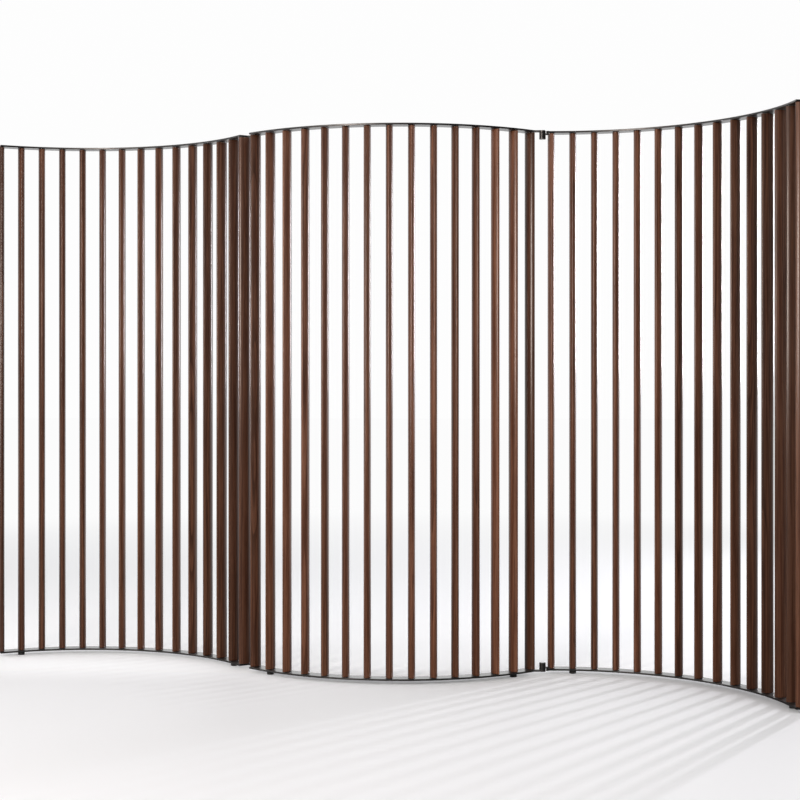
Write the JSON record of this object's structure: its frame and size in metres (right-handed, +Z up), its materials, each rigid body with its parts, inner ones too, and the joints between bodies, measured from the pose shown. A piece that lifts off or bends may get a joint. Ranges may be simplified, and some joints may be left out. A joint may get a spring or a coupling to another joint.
{
  "type": "room divider",
  "caption": "Folding room divider of three curved panels, hinged together, with upright oval wooden slats that turn on pins between flat steel rails",
  "frame": {"origin": "on the floor, under the centre of the bounding box of the open divider", "axes": "+Z up; +X from the left panel to the right panel, along the middle panel's chord; -Y towards the viewer"},
  "size_m": [2.7376, 0.9397, 1.846],
  "materials": {
    "walnut": "clear satin lacquer on dark walnut",
    "rail_steel": "dark grey powder coat, satin",
    "pin_steel": "turned steel",
    "foot_rubber": "black moulded rubber"
  },
  "bodies": {
    "panel_left": {"rail_top_left": "rail_steel", "rail_bottom_left": "rail_steel", "pins_left": "pin_steel", "feet_left": "foot_rubber"},
    "panel_middle": {"rail_top_middle": "rail_steel", "rail_bottom_middle": "rail_steel", "pins_middle": "pin_steel", "feet_middle": "foot_rubber", "hinge_leaves_middle": "rail_steel"},
    "panel_right": {"rail_top_right": "rail_steel", "rail_bottom_right": "rail_steel", "pins_right": "pin_steel", "feet_right": "foot_rubber", "hinge_leaves_right": "rail_steel"},
    "slat_left_01": {"slat_left_01": "walnut"},
    "slat_left_02": {"slat_left_02": "walnut"},
    "slat_left_03": {"slat_left_03": "walnut"},
    "slat_left_04": {"slat_left_04": "walnut"},
    "slat_left_05": {"slat_left_05": "walnut"},
    "slat_left_06": {"slat_left_06": "walnut"},
    "slat_left_07": {"slat_left_07": "walnut"},
    "slat_left_08": {"slat_left_08": "walnut"},
    "slat_left_09": {"slat_left_09": "walnut"},
    "slat_left_10": {"slat_left_10": "walnut"},
    "slat_left_11": {"slat_left_11": "walnut"},
    "slat_left_12": {"slat_left_12": "walnut"},
    "slat_left_13": {"slat_left_13": "walnut"},
    "slat_left_14": {"slat_left_14": "walnut"},
    "slat_left_15": {"slat_left_15": "walnut"},
    "slat_middle_01": {"slat_middle_01": "walnut"},
    "slat_middle_02": {"slat_middle_02": "walnut"},
    "slat_middle_03": {"slat_middle_03": "walnut"},
    "slat_middle_04": {"slat_middle_04": "walnut"},
    "slat_middle_05": {"slat_middle_05": "walnut"},
    "slat_middle_06": {"slat_middle_06": "walnut"},
    "slat_middle_07": {"slat_middle_07": "walnut"},
    "slat_middle_08": {"slat_middle_08": "walnut"},
    "slat_middle_09": {"slat_middle_09": "walnut"},
    "slat_middle_10": {"slat_middle_10": "walnut"},
    "slat_middle_11": {"slat_middle_11": "walnut"},
    "slat_middle_12": {"slat_middle_12": "walnut"},
    "slat_middle_13": {"slat_middle_13": "walnut"},
    "slat_middle_14": {"slat_middle_14": "walnut"},
    "slat_middle_15": {"slat_middle_15": "walnut"},
    "slat_right_01": {"slat_right_01": "walnut"},
    "slat_right_02": {"slat_right_02": "walnut"},
    "slat_right_03": {"slat_right_03": "walnut"},
    "slat_right_04": {"slat_right_04": "walnut"},
    "slat_right_05": {"slat_right_05": "walnut"},
    "slat_right_06": {"slat_right_06": "walnut"},
    "slat_right_07": {"slat_right_07": "walnut"},
    "slat_right_08": {"slat_right_08": "walnut"},
    "slat_right_09": {"slat_right_09": "walnut"},
    "slat_right_10": {"slat_right_10": "walnut"},
    "slat_right_11": {"slat_right_11": "walnut"},
    "slat_right_12": {"slat_right_12": "walnut"},
    "slat_right_13": {"slat_right_13": "walnut"},
    "slat_right_14": {"slat_right_14": "walnut"},
    "slat_right_15": {"slat_right_15": "walnut"}
  },
  "joints": [
    {"name": "left_panel_fold", "type": "hinge", "parent": "panel_middle", "child": "panel_left", "pos_m": [-0.39108, 0.1553, 0.923], "axis": [0, 0, -1], "range_deg": [-27, 158]},
    {"name": "right_panel_fold", "type": "hinge", "parent": "panel_middle", "child": "panel_right", "pos_m": [0.58918, 0.09898, 0.923], "axis": [0, 0, -1], "range_deg": [-54.4, 130.6]},
    {"name": "slat_left_01_turn", "type": "hinge", "parent": "panel_left", "child": "slat_left_01", "pos_m": [-1.35097, 0.35091, 0.923], "axis": [0, 0, 1], "continuous": true},
    {"name": "slat_left_02_turn", "type": "hinge", "parent": "panel_left", "child": "slat_left_02", "pos_m": [-1.28569, 0.38417, 0.923], "axis": [0, 0, 1], "continuous": true},
    {"name": "slat_left_03_turn", "type": "hinge", "parent": "panel_left", "child": "slat_left_03", "pos_m": [-1.21729, 0.41042, 0.923], "axis": [0, 0, 1], "continuous": true},
    {"name": "slat_left_04_turn", "type": "hinge", "parent": "panel_left", "child": "slat_left_04", "pos_m": [-1.14652, 0.42938, 0.923], "axis": [0, 0, 1], "continuous": true},
    {"name": "slat_left_05_turn", "type": "hinge", "parent": "panel_left", "child": "slat_left_05", "pos_m": [-1.07415, 0.44084, 0.923], "axis": [0, 0, 1], "continuous": true},
    {"name": "slat_left_06_turn", "type": "hinge", "parent": "panel_left", "child": "slat_left_06", "pos_m": [-1.00099, 0.44468, 0.923], "axis": [0, 0, 1], "continuous": true},
    {"name": "slat_left_07_turn", "type": "hinge", "parent": "panel_left", "child": "slat_left_07", "pos_m": [-0.92782, 0.44084, 0.923], "axis": [0, 0, 1], "continuous": true},
    {"name": "slat_left_08_turn", "type": "hinge", "parent": "panel_left", "child": "slat_left_08", "pos_m": [-0.85546, 0.42938, 0.923], "axis": [0, 0, 1], "continuous": true},
    {"name": "slat_left_09_turn", "type": "hinge", "parent": "panel_left", "child": "slat_left_09", "pos_m": [-0.78469, 0.41042, 0.923], "axis": [0, 0, 1], "continuous": true},
    {"name": "slat_left_10_turn", "type": "hinge", "parent": "panel_left", "child": "slat_left_10", "pos_m": [-0.71629, 0.38416, 0.923], "axis": [0, 0, 1], "continuous": true},
    {"name": "slat_left_11_turn", "type": "hinge", "parent": "panel_left", "child": "slat_left_11", "pos_m": [-0.65101, 0.3509, 0.923], "axis": [0, 0, 1], "continuous": true},
    {"name": "slat_left_12_turn", "type": "hinge", "parent": "panel_left", "child": "slat_left_12", "pos_m": [-0.58956, 0.311, 0.923], "axis": [0, 0, 1], "continuous": true},
    {"name": "slat_left_13_turn", "type": "hinge", "parent": "panel_left", "child": "slat_left_13", "pos_m": [-0.53262, 0.26489, 0.923], "axis": [0, 0, 1], "continuous": true},
    {"name": "slat_left_14_turn", "type": "hinge", "parent": "panel_left", "child": "slat_left_14", "pos_m": [-0.48081, 0.21309, 0.923], "axis": [0, 0, 1], "continuous": true},
    {"name": "slat_left_15_turn", "type": "hinge", "parent": "panel_left", "child": "slat_left_15", "pos_m": [-0.4347, 0.15615, 0.923], "axis": [0, 0, 1], "continuous": true},
    {"name": "slat_middle_01_turn", "type": "hinge", "parent": "panel_middle", "child": "slat_middle_01", "pos_m": [-0.3904, 0.10722, 0.923], "axis": [0, 0, 1], "continuous": true},
    {"name": "slat_middle_02_turn", "type": "hinge", "parent": "panel_middle", "child": "slat_middle_02", "pos_m": [-0.33346, 0.06112, 0.923], "axis": [0, 0, 1], "continuous": true},
    {"name": "slat_middle_03_turn", "type": "hinge", "parent": "panel_middle", "child": "slat_middle_03", "pos_m": [-0.27202, 0.02122, 0.923], "axis": [0, 0, 1], "continuous": true},
    {"name": "slat_middle_04_turn", "type": "hinge", "parent": "panel_middle", "child": "slat_middle_04", "pos_m": [-0.20673, -0.01205, 0.923], "axis": [0, 0, 1], "continuous": true},
    {"name": "slat_middle_05_turn", "type": "hinge", "parent": "panel_middle", "child": "slat_middle_05", "pos_m": [-0.13833, -0.0383, 0.923], "axis": [0, 0, 1], "continuous": true},
    {"name": "slat_middle_06_turn", "type": "hinge", "parent": "panel_middle", "child": "slat_middle_06", "pos_m": [-0.06756, -0.05726, 0.923], "axis": [0, 0, 1], "continuous": true},
    {"name": "slat_middle_07_turn", "type": "hinge", "parent": "panel_middle", "child": "slat_middle_07", "pos_m": [0.0048, -0.06872, 0.923], "axis": [0, 0, 1], "continuous": true},
    {"name": "slat_middle_08_turn", "type": "hinge", "parent": "panel_middle", "child": "slat_middle_08", "pos_m": [0.07797, -0.07256, 0.923], "axis": [0, 0, 1], "continuous": true},
    {"name": "slat_middle_09_turn", "type": "hinge", "parent": "panel_middle", "child": "slat_middle_09", "pos_m": [0.15113, -0.06872, 0.923], "axis": [0, 0, 1], "continuous": true},
    {"name": "slat_middle_10_turn", "type": "hinge", "parent": "panel_middle", "child": "slat_middle_10", "pos_m": [0.2235, -0.05726, 0.923], "axis": [0, 0, 1], "continuous": true},
    {"name": "slat_middle_11_turn", "type": "hinge", "parent": "panel_middle", "child": "slat_middle_11", "pos_m": [0.29427, -0.0383, 0.923], "axis": [0, 0, 1], "continuous": true},
    {"name": "slat_middle_12_turn", "type": "hinge", "parent": "panel_middle", "child": "slat_middle_12", "pos_m": [0.36267, -0.01205, 0.923], "axis": [0, 0, 1], "continuous": true},
    {"name": "slat_middle_13_turn", "type": "hinge", "parent": "panel_middle", "child": "slat_middle_13", "pos_m": [0.42795, 0.02122, 0.923], "axis": [0, 0, 1], "continuous": true},
    {"name": "slat_middle_14_turn", "type": "hinge", "parent": "panel_middle", "child": "slat_middle_14", "pos_m": [0.4894, 0.06112, 0.923], "axis": [0, 0, 1], "continuous": true},
    {"name": "slat_middle_15_turn", "type": "hinge", "parent": "panel_middle", "child": "slat_middle_15", "pos_m": [0.54634, 0.10722, 0.923], "axis": [0, 0, 1], "continuous": true},
    {"name": "slat_right_01_turn", "type": "hinge", "parent": "panel_right", "child": "slat_right_01", "pos_m": [0.62022, 0.1357, 0.923], "axis": [0, 0, 1], "continuous": true},
    {"name": "slat_right_02_turn", "type": "hinge", "parent": "panel_right", "child": "slat_right_02", "pos_m": [0.69349, 0.13519, 0.923], "axis": [0, 0, 1], "continuous": true},
    {"name": "slat_right_03_turn", "type": "hinge", "parent": "panel_right", "child": "slat_right_03", "pos_m": [0.76629, 0.12702, 0.923], "axis": [0, 0, 1], "continuous": true},
    {"name": "slat_right_04_turn", "type": "hinge", "parent": "panel_right", "child": "slat_right_04", "pos_m": [0.83785, 0.11129, 0.923], "axis": [0, 0, 1], "continuous": true},
    {"name": "slat_right_05_turn", "type": "hinge", "parent": "panel_right", "child": "slat_right_05", "pos_m": [0.90737, 0.08816, 0.923], "axis": [0, 0, 1], "continuous": true},
    {"name": "slat_right_06_turn", "type": "hinge", "parent": "panel_right", "child": "slat_right_06", "pos_m": [0.97409, 0.05789, 0.923], "axis": [0, 0, 1], "continuous": true},
    {"name": "slat_right_07_turn", "type": "hinge", "parent": "panel_right", "child": "slat_right_07", "pos_m": [1.03729, 0.02081, 0.923], "axis": [0, 0, 1], "continuous": true},
    {"name": "slat_right_08_turn", "type": "hinge", "parent": "panel_right", "child": "slat_right_08", "pos_m": [1.09626, -0.02266, 0.923], "axis": [0, 0, 1], "continuous": true},
    {"name": "slat_right_09_turn", "type": "hinge", "parent": "panel_right", "child": "slat_right_09", "pos_m": [1.15036, -0.07207, 0.923], "axis": [0, 0, 1], "continuous": true},
    {"name": "slat_right_10_turn", "type": "hinge", "parent": "panel_right", "child": "slat_right_10", "pos_m": [1.19901, -0.12686, 0.923], "axis": [0, 0, 1], "continuous": true},
    {"name": "slat_right_11_turn", "type": "hinge", "parent": "panel_right", "child": "slat_right_11", "pos_m": [1.24166, -0.18643, 0.923], "axis": [0, 0, 1], "continuous": true},
    {"name": "slat_right_12_turn", "type": "hinge", "parent": "panel_right", "child": "slat_right_12", "pos_m": [1.27785, -0.25013, 0.923], "axis": [0, 0, 1], "continuous": true},
    {"name": "slat_right_13_turn", "type": "hinge", "parent": "panel_right", "child": "slat_right_13", "pos_m": [1.30718, -0.31727, 0.923], "axis": [0, 0, 1], "continuous": true},
    {"name": "slat_right_14_turn", "type": "hinge", "parent": "panel_right", "child": "slat_right_14", "pos_m": [1.32934, -0.38711, 0.923], "axis": [0, 0, 1], "continuous": true},
    {"name": "slat_right_15_turn", "type": "hinge", "parent": "panel_right", "child": "slat_right_15", "pos_m": [1.34407, -0.45888, 0.923], "axis": [0, 0, 1], "continuous": true}
  ]
}
